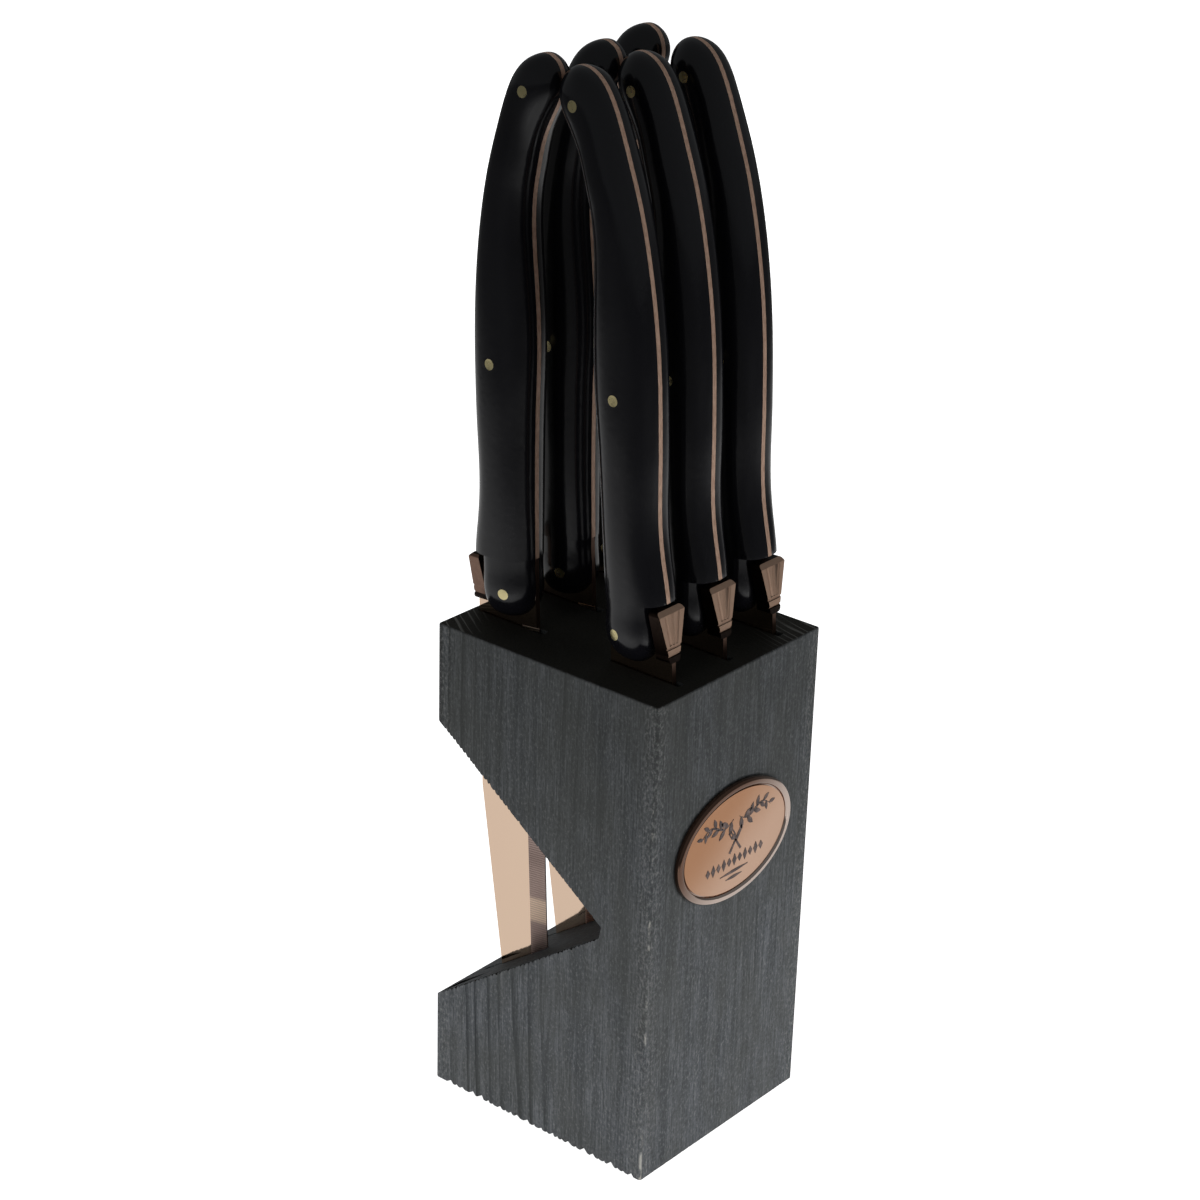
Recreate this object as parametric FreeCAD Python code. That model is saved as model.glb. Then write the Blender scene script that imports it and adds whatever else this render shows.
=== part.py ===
import FreeCAD, Part
import math
import os

# A free-standing wooden block with six table knives in two rows of three.
#
# Frame, in millimetres: +Z up, the origin at the centre of the block's base,
# the oval badge on the -Y face, and the V notch that shows the blades cut in
# from the +Y face.  The blades stand in planes of constant X.

# ---------------------------------------------------------------- block
BLOCK_WIDTH = 55.3          # along X
BLOCK_DEPTH = 61.0          # along Y
BLOCK_HEIGHT = 115.0        # along Z
EDGE_CHAMFER = 0.4          # eased outer edges

NOTCH_TOP = 92.0            # height of the notch's upper lip in the back face
NOTCH_BOTTOM = 22.2         # height of its lower lip
NOTCH_APEX_Y = -17.0        # how far towards the front the two cuts meet
NOTCH_APEX_TOP = 58.6       # the saw kerf leaves a short upright face at the apex
NOTCH_APEX_BOTTOM = 56.0

# ---------------------------------------------------------------- knife layout
COLUMN_PITCH = 17.1         # between the planes of neighbouring blades
COLUMN_OFFSET = 1.3         # the middle column stands this far to the right of centre
COLUMNS = {"left": -1, "middle": 0, "right": 1}
# The y and z of each knife's lowest pin, and the knife's lean towards +Y in degrees.
SEATS = {
    ("front", "left"): (-13.1, 123.9, 2.9),
    ("front", "middle"): (-13.1, 123.9, 2.6),
    ("front", "right"): (-13.1, 123.9, 2.8),
    ("back", "left"): (17.7, 123.5, 3.1),
    ("back", "middle"): (16.6, 123.5, 3.4),
    ("back", "right"): (18.0, 123.5, 4.3),
}
SLIDE_LEAN = 2.0            # the slots, and so the way out, lean a little less

# ---------------------------------------------------------------- knife
# The knife's own frame: u runs from the spine towards the cutting edge, v up
# the knife towards the butt, from the lowest pin.
STEEL = 1.2                 # thickness of blade and tang
ROOT_OVERLAP = 5.0          # how far the blade's outline runs up into the tang
HEEL_SPINE_U = -11.4        # back of the blade where it leaves the handle
CORNER = (-12.3, -50.0)     # where the back of the blade turns in
TIP = (-6.2, -112.4)
EDGE_U = 5.0                # cutting edge, straight down to the belly
HEEL_EDGE_V = -8.0          # where it starts, just above the slot
BELLY_V = -82.0             # where the cutting edge starts to curve up to the tip
BELLY_MID = (2.9, -98.0)    # a point half way round that curve
BEVEL_WIDTH = 4.0           # ground bevel, on one face only
EDGE_THICKNESS = 0.3

PIN_RADIUS = 1.2
BUTT_PIN = (9.1, 108.7)
MIDDLE_PIN = (-1.1, 51.05)
LOW_PIN = (0.0, 0.0)

# Handle outline, as matching points on the spine and on the belly.
LEDGE_V = 7.8
HANDLE_PAIRS = [
    ((-10.1, LEDGE_V), (5.2, LEDGE_V)),
    ((-9.3, 13.3), (5.3, 13.3)),
    ((-8.2, 21.0), (5.45, 21.0)),
    ((-8.1, 36.0), (6.0, 36.0)),
    ((-8.15, 50.5), (6.9, 50.0)),
    ((-7.5, 64.5), (7.1, 63.0)),
    ((-5.8, 78.0), (6.5, 76.0)),
    ((-3.2, 90.5), (7.2, 88.0)),
    ((-0.2, 100.3), (9.4, 97.0)),
]
BUTT_RADIUS = 5.5
BUTT_REACH = 7.6            # how far the round end stands past the butt pin
BUTT_TURN = 32.0            # how far the handle has turned towards the belly there
HANDLE_HALF_THICKNESS = 6.5
LEDGE_HALF_THICKNESS = 5.9
BUTT_HALF_THICKNESS = 5.7
THICKEST_V = 52.0
SPINE_POWER = 2.6           # 2 is an ellipse, larger is squarer
BELLY_POWER = 2.2
FLANK_POINTS = 13
STRIP_POINTS = 5
CAP_ANGLES = (25, 45, 62, 73, 80)

# The lower lobe of the handle, below the ledge.
LOBE_SPINE_U = -7.5
LOBE_INSET = 0.08           # the lobe lies this far inside the handle's skin
LOBE_STRAIGHT_V = 0.6       # below this the lobe rounds off
LOBE_BOTTOM_V = -6.4

# The ornamental plate let into the spine under the ledge.
PLATE_TOP_V = 6.8
PLATE_BOTTOM_V = -4.8
PLATE_TOP_HALF = 4.3
PLATE_BOTTOM_HALF = 1.8
PLATE_FOOT = 1.6            # height of the upright foot under the taper
PLATE_INNER_U = -8.1
PLATE_TOP_U = -10.9
PLATE_BOTTOM_U = -11.8
PLATE_CORNER_RADIUS = 0.9
PLATE_TOP_BEVEL = 0.9       # the top front edge is sloped back
FLUTE_COUNT = 3             # they fan out from the foot
FLUTE_RADIUS = 0.6
FLUTE_DEPTH = 0.15
FLUTE_BOTTOM_V = -0.9
FLUTE_TOP_V = 5.9
FLUTE_BOTTOM_SPACING = 0.95
FLUTE_TOP_SPACING = 2.1
RIB_COUNT = 2               # grooves across the foot
RIB_RADIUS = 0.3
RIB_DEPTH = 0.22
RIB_BOTTOM_V = -3.2
RIB_SPACING = 1.7

# ---------------------------------------------------------------- slots
SLOT_WIDTH = 2.0            # half is milled into each of two neighbouring boards
SLOT_CLEARANCE = 0.32       # along the blade's edges and under its tip

# ---------------------------------------------------------------- badge
BADGE_HALF_WIDTH = 19.6
BADGE_HALF_HEIGHT = 13.7
BADGE_CENTRE_X = -0.7       # stuck on by hand, a little off centre
BADGE_CENTRE_Z = 74.4
BADGE_RIM = 1.8
BADGE_HEIGHT = 1.3
BADGE_FLOOR = 0.4
BADGE_GROOVE = 0.3
BADGE_FACE_THICKNESS = 0.5
BADGE_PAD = 0.3
BADGE_PAD_INSET = 1.2
RIM_ROUNDING = 0.7

BACK_Y = BLOCK_DEPTH / 2
FRONT_Y = -BLOCK_DEPTH / 2
BEYOND = 1.0                # how far a cut runs on past the surface it opens
FAR = 200.0                 # out past everything, for halving shapes


def vec(x, y, z):
    return FreeCAD.Vector(x, y, z)


def side_point(u, v, x=0.0):
    """A point of the prototype knife, whose spine faces -Y."""
    return vec(x, u, v)


def box(low, high):
    size = [b - a for a, b in zip(low, high)]
    return Part.makeBox(size[0], size[1], size[2], vec(low[0], low[1], low[2]))


def prism(points, x_low, x_high):
    """A (y, z) outline with straight sides, pushed from x_low to x_high."""
    corners = [vec(x_low, y, z) for y, z in points]
    wire = Part.makePolygon(corners + corners[:1])
    return Part.Face(wire).extrude(vec(x_high - x_low, 0, 0))


# ---------------------------------------------------------------- block boards

def column_x(column):
    return COLUMN_OFFSET + COLUMN_PITCH * COLUMNS[column]


def notch():
    outline = [
        (BACK_Y, NOTCH_TOP),
        (NOTCH_APEX_Y, NOTCH_APEX_TOP),
        (NOTCH_APEX_Y, NOTCH_APEX_BOTTOM),
        (BACK_Y, NOTCH_BOTTOM),
        (BACK_Y + BEYOND, NOTCH_BOTTOM),
        (BACK_Y + BEYOND, NOTCH_TOP),
    ]
    return prism(outline, -BLOCK_WIDTH, BLOCK_WIDTH)


def along_slide(point, height):
    """Where a (y, z) point has got to when its knife is slid up to a height."""
    return point[0] + (height - point[1]) * math.tan(math.radians(SLIDE_LEAN))


def slot_outline(row, column):
    """The milled slot of one knife, seen from the side, open at the top."""
    top = BLOCK_HEIGHT + BEYOND
    floor = seated_point(row, column, *TIP)[1] - SLOT_CLEARANCE
    corner = seated_point(row, column, *CORNER)
    heel_spine = seated_point(row, column, HEEL_SPINE_U, HEEL_EDGE_V)
    heel_edge = seated_point(row, column, EDGE_U, HEEL_EDGE_V)
    belly = seated_point(row, column, EDGE_U, BELLY_V)
    spine_ys = [along_slide(point, top) for point in (corner, heel_spine)]
    edge_ys = [along_slide(point, top) for point in (heel_edge, belly)]
    if row == "front":
        spine = (min(spine_ys) - SLOT_CLEARANCE, top)
        edge = (max(edge_ys) + SLOT_CLEARANCE, top)
        # Below the corner the wall is upright, so the slot stays inside the block.
        kink = along_slide(spine, corner[1])
        lower = [(kink, corner[1]), (kink, floor)]
    else:
        spine = (max(spine_ys) + SLOT_CLEARANCE, top)
        edge = (min(edge_ys) - SLOT_CLEARANCE, top)
        lower = [(along_slide(spine, floor), floor)]
    return [spine] + lower + [(along_slide(edge, floor), floor), edge]


def block_blank():
    blank = box(
        (-BLOCK_WIDTH / 2, FRONT_Y, 0),
        (BLOCK_WIDTH / 2, BACK_Y, BLOCK_HEIGHT),
    )
    upright = [e for e in blank.Edges if abs(e.tangentAt(e.FirstParameter).z) > 0.9]
    return blank.makeChamfer(EDGE_CHAMFER, upright)


def boards():
    """Four boards, glued face to face where the slots are milled."""
    blank = block_blank().cut(notch())
    for row, column in SEATS:
        x = column_x(column)
        slot = prism(slot_outline(row, column), x - SLOT_WIDTH / 2, x + SLOT_WIDTH / 2)
        blank = blank.cut(slot)
    seams = [-BLOCK_WIDTH] + [column_x(c) for c in COLUMNS] + [BLOCK_WIDTH]
    names = ["left", "middle_left", "middle_right", "right"]
    result = {}
    for name, low, high in zip(names, seams[:-1], seams[1:]):
        slab = box((low, -FAR, -FAR), (high, FAR, FAR))
        result["block_board_" + name] = blank.common(slab)
    return result


# ---------------------------------------------------------------- handle

def section(centre, depth_dir, spine_half, belly_half, half_thickness):
    """A closed squared-off oval round a point of the handle's middle plane.

    It is made of four curves, which meet where the scales meet the tang.
    """
    tang_share = STEEL / 2 / half_thickness
    belly_turn = math.acos(tang_share ** (BELLY_POWER / 2))
    spine_turn = math.acos(tang_share ** (SPINE_POWER / 2))

    def point(angle):
        c, s = math.cos(angle), math.sin(angle)
        half_depth = belly_half if s >= 0 else spine_half
        power = 2.0 / (BELLY_POWER if s >= 0 else SPINE_POWER)
        x = half_thickness * math.copysign(abs(c) ** power, c)
        w = half_depth * math.copysign(abs(s) ** power, s)
        return side_point(centre[0] + depth_dir[0] * w, centre[1] + depth_dir[1] * w, x)

    def curve(start, end, count):
        steps = [i / (count - 1) for i in range(count)]
        made = Part.BSplineCurve()
        made.interpolate(
            Points=[point(start + (end - start) * step) for step in steps],
            Parameters=steps,
        )
        return made.toShape()

    return Part.Wire([
        curve(-spine_turn, belly_turn, FLANK_POINTS),
        curve(belly_turn, math.pi - belly_turn, STRIP_POINTS),
        curve(math.pi - belly_turn, math.pi + spine_turn, FLANK_POINTS),
        curve(math.pi + spine_turn, 2 * math.pi - spine_turn, STRIP_POINTS),
    ])


def half_thickness_at(v):
    """Thickest near the middle pin, thinner towards both ends."""
    if v < THICKEST_V:
        drop = HANDLE_HALF_THICKNESS - LEDGE_HALF_THICKNESS
        part = (THICKEST_V - v) / (THICKEST_V - LEDGE_V)
    else:
        drop = HANDLE_HALF_THICKNESS - BUTT_HALF_THICKNESS
        part = (v - THICKEST_V) / (BUTT_PIN[1] - THICKEST_V)
    return HANDLE_HALF_THICKNESS - drop * part ** 2


def pair_section(spine, belly):
    centre = ((spine[0] + belly[0]) / 2, (spine[1] + belly[1]) / 2)
    depth = math.dist(spine, belly)
    direction = ((belly[0] - spine[0]) / depth, (belly[1] - spine[1]) / depth)
    return section(centre, direction, depth / 2, depth / 2, half_thickness_at(centre[1]))


def butt_sections():
    """The round end, as sections that shrink about the butt pin."""
    turn = math.radians(BUTT_TURN)
    forward = (math.sin(turn), math.cos(turn))
    across = (math.cos(turn), -math.sin(turn))
    result = []
    for angle in (0,) + CAP_ANGLES:
        reach = BUTT_REACH * math.sin(math.radians(angle))
        shrink = math.cos(math.radians(angle))
        centre = (BUTT_PIN[0] + forward[0] * reach, BUTT_PIN[1] + forward[1] * reach)
        half = BUTT_RADIUS * shrink
        result.append(section(centre, across, half, half, BUTT_HALF_THICKNESS * shrink))
    return result


def grip():
    """The handle above the ledge, both scales and tang together."""
    wires = [pair_section(spine, belly) for spine, belly in HANDLE_PAIRS]
    return Part.makeLoft(wires + butt_sections(), True, False)


def lobe():
    """The lower part of the handle, set back behind the ledge on the spine side."""
    spine, belly = HANDLE_PAIRS[0]
    middle = (spine[0] + belly[0]) / 2
    spine_half = middle - LOBE_SPINE_U
    belly_half = belly[0] - middle - LOBE_INSET
    thickness = LEDGE_HALF_THICKNESS - LOBE_INSET
    along = (1.0, 0.0)
    wires = [
        section((middle, v), along, spine_half, belly_half, thickness)
        for v in (LEDGE_V, LOBE_STRAIGHT_V)
    ]
    drop = LOBE_STRAIGHT_V - LOBE_BOTTOM_V
    for angle in CAP_ANGLES[:-1]:
        reach = drop * math.sin(math.radians(angle))
        shrink = math.cos(math.radians(angle)) ** (2.0 / SPINE_POWER)
        wires.append(section(
            (middle, LOBE_STRAIGHT_V - reach),
            along,
            spine_half * shrink,
            belly_half * shrink,
            thickness * shrink,
        ))
    return Part.makeLoft(wires, True, False)


def pin_holes():
    length = 4 * HANDLE_HALF_THICKNESS
    return [
        Part.makeCylinder(PIN_RADIUS, length, side_point(u, v, -length / 2), vec(1, 0, 0))
        for u, v in (LOW_PIN, MIDDLE_PIN, BUTT_PIN)
    ]


# ---------------------------------------------------------------- blade

def blade_plate():
    """Blade and ricasso, up to just inside the handle."""
    root_v = LEDGE_V + ROOT_OVERLAP
    outline = [
        (PLATE_INNER_U, root_v),
        (PLATE_INNER_U, PLATE_BOTTOM_V),
        (HEEL_SPINE_U, PLATE_BOTTOM_V),
        CORNER,
        TIP,
    ]
    points = [side_point(u, v, -STEEL / 2) for u, v in outline]
    belly_end = side_point(EDGE_U, BELLY_V, -STEEL / 2)
    belly_mid = side_point(BELLY_MID[0], BELLY_MID[1], -STEEL / 2)
    edges = [Part.LineSegment(a, b).toShape() for a, b in zip(points[:-1], points[1:])]
    edges.append(Part.Arc(points[-1], belly_mid, belly_end).toShape())
    root_edge = side_point(EDGE_U, root_v, -STEEL / 2)
    edges.append(Part.LineSegment(belly_end, root_edge).toShape())
    edges.append(Part.LineSegment(root_edge, points[0]).toShape())
    face = Part.Face(Part.Wire(edges))
    return face.extrude(vec(STEEL, 0, 0))


def bevel_cut():
    """The wedge ground off the +X face along the cutting edge."""
    start = EDGE_U - BEVEL_WIDTH
    reach = 2 * BEVEL_WIDTH
    rise = reach * (STEEL - EDGE_THICKNESS) / BEVEL_WIDTH
    bottom = TIP[1] - BEYOND
    corners = [
        side_point(start, bottom, STEEL / 2),
        side_point(start + reach, bottom, STEEL / 2 - rise),
        side_point(start + reach, bottom, STEEL),
        side_point(start, bottom, STEEL),
    ]
    face = Part.Face(Part.makePolygon(corners + corners[:1]))
    return face.extrude(vec(0, 0, HEEL_EDGE_V - bottom))


def knife_steel(skin):
    """Blade and full-length tang in one piece of sheet steel."""
    slab = box((-STEEL / 2, -FAR, LEDGE_V), (STEEL / 2, FAR, FAR))
    steel = blade_plate().cut(bevel_cut()).fuse(skin.common(slab))
    return steel.removeSplitter()


def plate_face_u(v):
    """How far out the face of the spine plate stands at a height."""
    part = (PLATE_TOP_V - v) / (PLATE_TOP_V - PLATE_BOTTOM_V)
    return PLATE_TOP_U + (PLATE_BOTTOM_U - PLATE_TOP_U) * part


def spine_plate():
    """A plain tapered plate with fluting, set on the tang's spine edge."""
    foot_v = PLATE_BOTTOM_V + PLATE_FOOT
    outline = [
        (-PLATE_TOP_HALF, PLATE_TOP_V),
        (PLATE_TOP_HALF, PLATE_TOP_V),
        (PLATE_BOTTOM_HALF, foot_v),
        (PLATE_BOTTOM_HALF, PLATE_BOTTOM_V),
        (-PLATE_BOTTOM_HALF, PLATE_BOTTOM_V),
        (-PLATE_BOTTOM_HALF, foot_v),
    ]
    corners = [side_point(PLATE_INNER_U, v, x) for x, v in outline]
    face = Part.Face(Part.makePolygon(corners + corners[:1]))
    plate = face.extrude(vec(0, PLATE_BOTTOM_U - PLATE_INNER_U, 0))
    outer = [e for e in plate.Edges if abs(e.tangentAt(e.FirstParameter).y) > 0.9]
    plate = plate.makeFillet(PLATE_CORNER_RADIUS, outer)
    shoulder_v = PLATE_TOP_V - PLATE_TOP_BEVEL
    in_front = PLATE_BOTTOM_U - BEYOND
    cut_away = [
        (PLATE_BOTTOM_U, PLATE_BOTTOM_V),
        (plate_face_u(shoulder_v), shoulder_v),
        (PLATE_TOP_U + PLATE_TOP_BEVEL, PLATE_TOP_V),
        (in_front, PLATE_TOP_V + BEYOND),
        (in_front, PLATE_BOTTOM_V),
    ]
    plate = plate.cut(prism(cut_away, -FAR, FAR))
    for cutter in flutes() + ribs():
        plate = plate.cut(cutter)
    return plate


def flutes():
    """Shallow flutes up the face of the spine plate."""
    stand_off = FLUTE_RADIUS - FLUTE_DEPTH
    low_u = plate_face_u(FLUTE_BOTTOM_V) - stand_off
    high_u = plate_face_u(FLUTE_TOP_V) - stand_off
    result = []
    for i in range(FLUTE_COUNT):
        step = i - (FLUTE_COUNT - 1) / 2
        low = side_point(low_u, FLUTE_BOTTOM_V, step * FLUTE_BOTTOM_SPACING)
        high = side_point(high_u, FLUTE_TOP_V, step * FLUTE_TOP_SPACING)
        run = high - low
        result.append(Part.makeCylinder(FLUTE_RADIUS, run.Length, low, run))
    return result


def ribs():
    """Grooves across the foot of the spine plate."""
    stand_off = RIB_RADIUS - RIB_DEPTH
    result = []
    for i in range(RIB_COUNT):
        v = RIB_BOTTOM_V + i * RIB_SPACING
        start = side_point(plate_face_u(v) - stand_off, v, -PLATE_TOP_HALF)
        result.append(Part.makeCylinder(RIB_RADIUS, 2 * PLATE_TOP_HALF, start, vec(1, 0, 0)))
    return result


# ---------------------------------------------------------------- one knife

def knife_parts():
    """The prototype knife: spine towards -Y, the lowest pin on the X axis."""
    upper = grip()
    lower = lobe()
    skin = upper.fuse(lower)
    steel = knife_steel(upper)
    holes = pin_holes()
    pins = [skin.common(hole) for hole in holes]
    scales = {}
    for side, sign in (("left", -1), ("right", 1)):
        low, high = sorted((sign * STEEL / 2, sign * FAR))
        scales[side] = skin.common(box((low, -FAR, -FAR), (high, FAR, FAR)))
    for hole in holes:
        steel = steel.cut(hole)
        scales = {side: scale.cut(hole) for side, scale in scales.items()}
    return {
        "blade": steel,
        "spine_plate": spine_plate(),
        "scale_left": scales["left"],
        "scale_right": scales["right"],
        "pins": Part.makeCompound(pins),
    }


def seated_point(row, column, u, v):
    """The (y, z) of a point of a knife that stands in its slot."""
    pin_y, pin_z, lean = SEATS[row, column]
    c, s = math.cos(math.radians(lean)), math.sin(math.radians(lean))
    towards_back = u if row == "front" else -u
    return (pin_y + towards_back * c + v * s, pin_z - towards_back * s + v * c)


def seat(shape, row, column):
    """Turn a prototype part and stand it in its slot."""
    pin_y, pin_z, lean = SEATS[row, column]
    result = shape.copy()
    if row == "back":
        result.rotate(vec(0, 0, 0), vec(0, 0, 1), 180)
    result.rotate(vec(0, 0, 0), vec(1, 0, 0), -lean)
    result.translate(vec(column_x(column), pin_y, pin_z))
    return result


# ---------------------------------------------------------------- badge

def oval(half_width, half_height, y_low, y_high):
    """An elliptical disc on the block's front, from y_low out to y_high."""
    ellipse = Part.Ellipse(vec(0, 0, 0), half_width, half_height)
    disc = Part.Face(Part.Wire([ellipse.toShape()])).extrude(vec(0, 0, y_low - y_high))
    disc.rotate(vec(0, 0, 0), vec(1, 0, 0), 90)
    disc.translate(vec(BADGE_CENTRE_X, y_low, BADGE_CENTRE_Z))
    return disc


def badge():
    pad_y = FRONT_Y - BADGE_PAD
    top_y = pad_y - BADGE_HEIGHT
    floor_y = pad_y - BADGE_FLOOR
    inner_width = BADGE_HALF_WIDTH - BADGE_RIM
    inner_height = BADGE_HALF_HEIGHT - BADGE_RIM
    pad = oval(
        BADGE_HALF_WIDTH - BADGE_PAD_INSET,
        BADGE_HALF_HEIGHT - BADGE_PAD_INSET,
        FRONT_Y,
        pad_y,
    )
    frame = oval(BADGE_HALF_WIDTH, BADGE_HALF_HEIGHT, pad_y, top_y)
    frame = frame.cut(oval(inner_width, inner_height, floor_y, top_y - BEYOND))
    rim = [e for e in frame.Edges if abs(e.BoundBox.Center.y - top_y) < RIM_ROUNDING / 10]
    frame = frame.makeFillet(RIM_ROUNDING, rim)
    plate = oval(
        inner_width - BADGE_GROOVE,
        inner_height - BADGE_GROOVE,
        floor_y,
        floor_y - BADGE_FACE_THICKNESS,
    )
    return {"badge_adhesive_pad": pad, "badge_frame": frame, "badge_plate": plate}


# ---------------------------------------------------------------- output

def model():
    nodes = {}
    nodes.update(boards())
    nodes.update(badge())
    prototype = knife_parts()
    for row, column in SEATS:
        for name, shape in prototype.items():
            nodes["knife_%s_%s_%s" % (row, column, name)] = seat(shape, row, column)
    return nodes


def main():
    os.makedirs("parts", exist_ok=True)
    for name, shape in model().items():
        shape.exportStep("parts/%s.step" % name)
        print(name, shape.isValid(), len(shape.Solids), round(shape.Volume, 1))


if __name__ == "__main__":
    main()
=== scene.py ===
import math
import random

import bmesh
import bpy
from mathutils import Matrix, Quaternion, Vector


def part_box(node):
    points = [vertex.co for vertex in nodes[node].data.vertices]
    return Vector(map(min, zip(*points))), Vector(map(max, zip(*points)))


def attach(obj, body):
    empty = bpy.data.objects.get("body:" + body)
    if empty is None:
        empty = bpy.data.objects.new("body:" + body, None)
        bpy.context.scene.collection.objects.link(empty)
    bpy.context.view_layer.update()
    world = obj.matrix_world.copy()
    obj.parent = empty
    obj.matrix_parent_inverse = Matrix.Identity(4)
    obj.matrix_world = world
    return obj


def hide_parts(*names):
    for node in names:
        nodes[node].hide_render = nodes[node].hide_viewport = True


# Looks for a wooden block with six table knives.  Everything is in metres, in
# the CAD frame: +Z up, the origin at the centre of the block's base, the badge
# on the -Y face, the V notch cut in from the +Y face.

MM = 0.001
TINY = 1e-5
CENTIMETRE_SQUARED = 1e-4
SEED = 11
UP = Vector((0, 0, 1))
BACK = Vector((0, 1, 0))

COLUMNS = ("left", "middle", "right")
BOARDS = ("left", "middle_left", "middle_right", "right")

# Camera
CAMERA_PLACE = (-0.43876, -0.35388, 0.37238)
CAMERA_DIRECTION = (0.70401, 0.58144, -0.40780)
CAMERA_ROLL = math.radians(1.70)
CAMERA_LENS = 86.4
CAMERA_SENSOR = 36.0
CAMERA_CLIP = (0.01, 20.0)

# Edges of every piece
SHARP = math.radians(25)         # edges that bend by more than this are sharp

# Wood
PITH = (105 * MM, -50 * MM, 0.0)   # the centre of the growth rings
RING_WIDTH = 1.6 * MM
HALO = 5 * MM                    # how far the rubbed look reaches from the upright corners
BARE_CORNER = 0.7 * MM           # how far from them the stain can be worn right off

# Block
EDGE_WEAR = 0.3 * MM             # the rounding of the boards' outer edges
SEAM_REACH = 2 * MM              # edges this near a glue line, as the slots' are, stay sharp
SLANTED = 0.2                    # as do edges that run more than this share of their length in Y and Z
NOTCH_DEPTH_Y = -17 * MM         # where the notch ends inside the block
NOTCH_CUTS = (                   # each cut's height at the back face and inside, and where the wood is
    (92 * MM, 58.6 * MM, UP),
    (22.2 * MM, 56 * MM, -UP),
)

# Chips torn from the block's edges
BASE_CHIP = 2.0 * MM             # the usual width of a chip along the base of the side faces,
NOTCH_CHIP = 1.0 * MM            # along the notch in the side faces,
SMALL_CHIP = 0.6 * MM            # and along the edges of the front and back faces
CORNER_INSET = 1.0 * MM          # how far chips stay from the block's corners
CHIP_INSET = 1.2 * MM            # how far they stay from the sides of a board
NOTCH_SPAN = (0.02, 0.98)        # the stretch of a notch edge that can chip
CUTTER_PROUD = 4 * TINY          # how far a chip's cutter stands out of the wood

# Knives
SERRATION_PITCH = 0.55 * MM
NARROW_FACE = 0.6                # narrow edges of the blade face the side less than this
BEVEL_FACE = (0.95, 0.99)        # the ground bevel faces the side by this much
PLATE_EDGE = 0.25 * MM           # the spine plate's rounded edges
PLATE_FOOT = 1.7 * MM            # the height of its plain foot, which is painted in shade
PLATE_TOP_FACE = 0.8             # its top faces up more than this,
PLATE_SIDE_FACE = 0.25           # its sides face forward less than this,
PLATE_FRONT_FACE = 0.6           # and its front more than this
PLATE_RIM_BEND = math.radians(60)   # round the front, edges that bend by more than this are rounded
LEDGE_ROUNDING = 0.5 * MM        # where the grip overhangs the spine plate
LEDGE_HEIGHT = 3 * MM            # how far above and below the plate's top the ledge reaches
TANG_CLEAR = 1 * MM              # edges nearer than this to the tang stay sharp

# Badge ornament, in millimetres and degrees from the badge's centre
ORNAMENT_RELIEF = 0.06 * MM
CUTLERY_CENTRE = (0.0, 0.3)
CUTLERY_ANGLE = 35
STEM_WIDTH = 0.55
LEAVES = 10                      # on each sprig
LEAF_ANGLE = 48                  # between a leaf and its stem
LEAF_LENGTHS = (3.3, 2.1)        # in the middle of the badge, and at a sprig's tip
LEAF_SLIMNESS = 0.42
LOZENGES = 11
LOZENGE_PITCH = 1.85
LOZENGE_HALF_WIDTH = 0.75
LOZENGE_HALF_HEIGHTS = (1.1, 1.5)
LOZENGE_ROW = -4.6
RULE_WIDTH = 0.75
RULES = ((-7.3, 4.8), (-8.7, 2.8))   # height and half length of each

# Studio
TABLE_HALF_WIDTH = 6.0
TABLE_CENTRE = (0.10, 0.08, 0.0)
TABLE_FALL_OFF = (0.26, 0.62)    # from and to these distances the table gets darker
TABLE_GLOW = (0.62, 0.05)        # how bright it is before and after that
TABLE_SEEN = 0.97                # how bright the camera sees it
ROOM_GLOW = 0.15
SOFTBOXES = {                    # place, the point it faces, width and height, watts
    "left_low": ((-0.24, 0.0, 0.01), (0.0, 0.0, 0.02), (0.25, 0.06), 0.62),
    "front_low": ((0.05, -0.24, 0.01), (0.0, 0.0, 0.02), (0.25, 0.06), 0.72),
    "left_fill": ((-0.8, 0.0, 0.3), (0.0, 0.0, 0.06), (0.5, 0.4), 0.9),
    "front_fill": ((0.0, -0.8, 0.3), (0.0, 0.0, 0.06), (0.5, 0.4), 1.5),
    "back_fill": ((0.7, 0.6, 0.3), (0.0, 0.0, 0.08), (0.6, 0.5), 1.4),
    "top_fill": ((0.3, 0.4, 0.9), (0.0, 0.0, 0.1), (0.8, 0.8), 2.0),
}

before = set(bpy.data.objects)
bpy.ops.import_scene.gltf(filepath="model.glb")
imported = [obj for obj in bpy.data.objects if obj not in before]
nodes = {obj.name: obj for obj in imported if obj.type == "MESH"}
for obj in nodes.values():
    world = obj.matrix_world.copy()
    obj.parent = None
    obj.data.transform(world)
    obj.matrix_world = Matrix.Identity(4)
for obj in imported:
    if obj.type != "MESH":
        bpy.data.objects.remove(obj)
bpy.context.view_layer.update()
dice = random.Random(SEED)
block_low = Vector(map(min, *(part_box("block_board_" + board)[0] for board in BOARDS)))
block_high = Vector(map(max, *(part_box("block_board_" + board)[1] for board in BOARDS)))


# ------------------------------------------------------------ shader helpers

def shader(name):
    """A new material, its node tree and its Principled node."""
    material = bpy.data.materials.new(name)
    material.use_nodes = True
    tree = material.node_tree
    return material, tree, tree.nodes["Principled BSDF"]


def feed(tree, socket, value):
    """Links a socket to value, or sets it if value is a constant."""
    if isinstance(value, bpy.types.NodeSocket):
        tree.links.new(value, socket)
    else:
        socket.default_value = value


def add(tree, kind, **values):
    """A node whose inputs are given by name, as constants or as sockets to link."""
    node = tree.nodes.new(kind)
    for name, value in values.items():
        feed(tree, node.inputs[name], value)
    return node


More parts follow.
